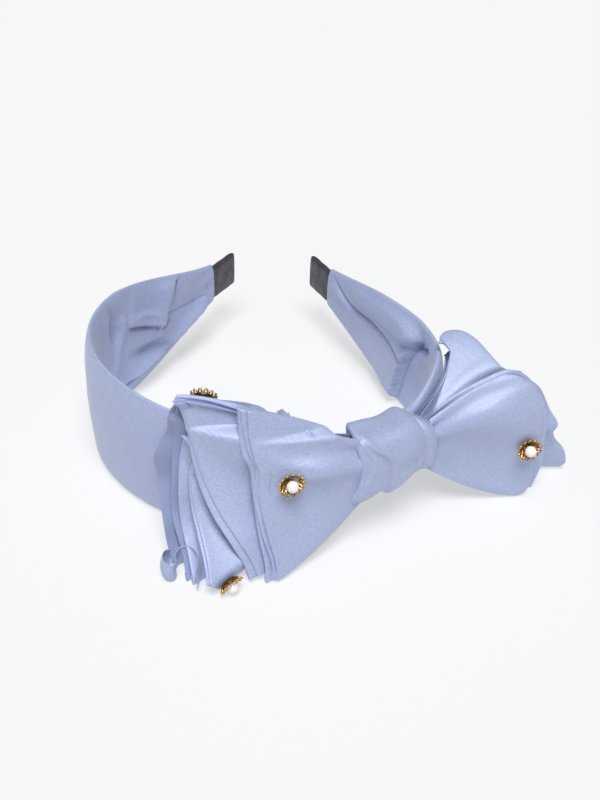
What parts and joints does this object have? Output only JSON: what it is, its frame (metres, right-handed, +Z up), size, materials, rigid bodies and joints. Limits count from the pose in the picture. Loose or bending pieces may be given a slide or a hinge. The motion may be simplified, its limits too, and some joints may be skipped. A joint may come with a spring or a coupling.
{
  "type": "headband",
  "caption": "Wide satin-covered headband with a fanned satin bow, a wrapped knot and pearl flower studs; its arms spring apart.",
  "frame": {"origin": "on the surface it lies on, under the middle of the whole object's box", "axes": "+Z up from the surface, along the band's width; +X along the head's width, to the bow's side; +Y from the crown to the open ends"},
  "size_m": [0.201, 0.1866, 0.0669],
  "materials": {
    "satin": "soft periwinkle-blue satin",
    "organza": "sheer blue organza mesh",
    "core_plastic": "plain moulded plastic",
    "lining": "white non-woven interlining",
    "grosgrain": "black ribbed ribbon",
    "antique_gold": "darkened antique gold",
    "pearl": "imitation pearl",
    "thread": "sewing thread"
  },
  "bodies": {
    "crown": {"core_crown": "core_plastic", "lining_crown": "lining", "sleeve_crown": "satin", "front_flap": "satin", "middle_flap": "satin", "lower_flap": "satin", "rear_flap": "satin", "organza_ruffle": "organza", "knot_wrap": "satin", "gathering_thread": "thread", "rosette_left_front": "antique_gold", "rosette_left_top": "antique_gold", "rosette_left_bottom": "antique_gold", "rosette_right_front": "antique_gold", "rosette_right_top": "antique_gold", "rosette_right_bottom": "antique_gold", "pearl_left_front": "pearl", "pearl_left_top": "pearl", "pearl_left_bottom": "pearl", "pearl_right_front": "pearl", "pearl_right_top": "pearl", "pearl_right_bottom": "pearl", "shank_left_front": "antique_gold", "shank_left_top": "antique_gold", "shank_left_bottom": "antique_gold", "shank_right_front": "antique_gold", "shank_right_top": "antique_gold", "shank_right_bottom": "antique_gold"},
    "left_arm": {"core_left_arm": "core_plastic", "lining_left_arm": "lining", "sleeve_left_arm": "satin", "end_wrap_left": "grosgrain"},
    "right_arm": {"core_right_arm": "core_plastic", "lining_right_arm": "lining", "sleeve_right_arm": "satin", "end_wrap_right": "grosgrain"}
  },
  "joints": [
    {"name": "left_arm_flex", "type": "hinge", "parent": "crown", "child": "left_arm", "pos_m": [-0.0974, 0.00551, 0.0284], "axis": [0, 0, 1], "range_deg": [-6, 26], "stiffness_Nm_per_rad": 0.5},
    {"name": "right_arm_flex", "type": "hinge", "parent": "crown", "child": "right_arm", "pos_m": [0.04228, 0.00551, 0.0284], "axis": [0, 0, -1], "range_deg": [-6, 26], "stiffness_Nm_per_rad": 0.5}
  ]
}
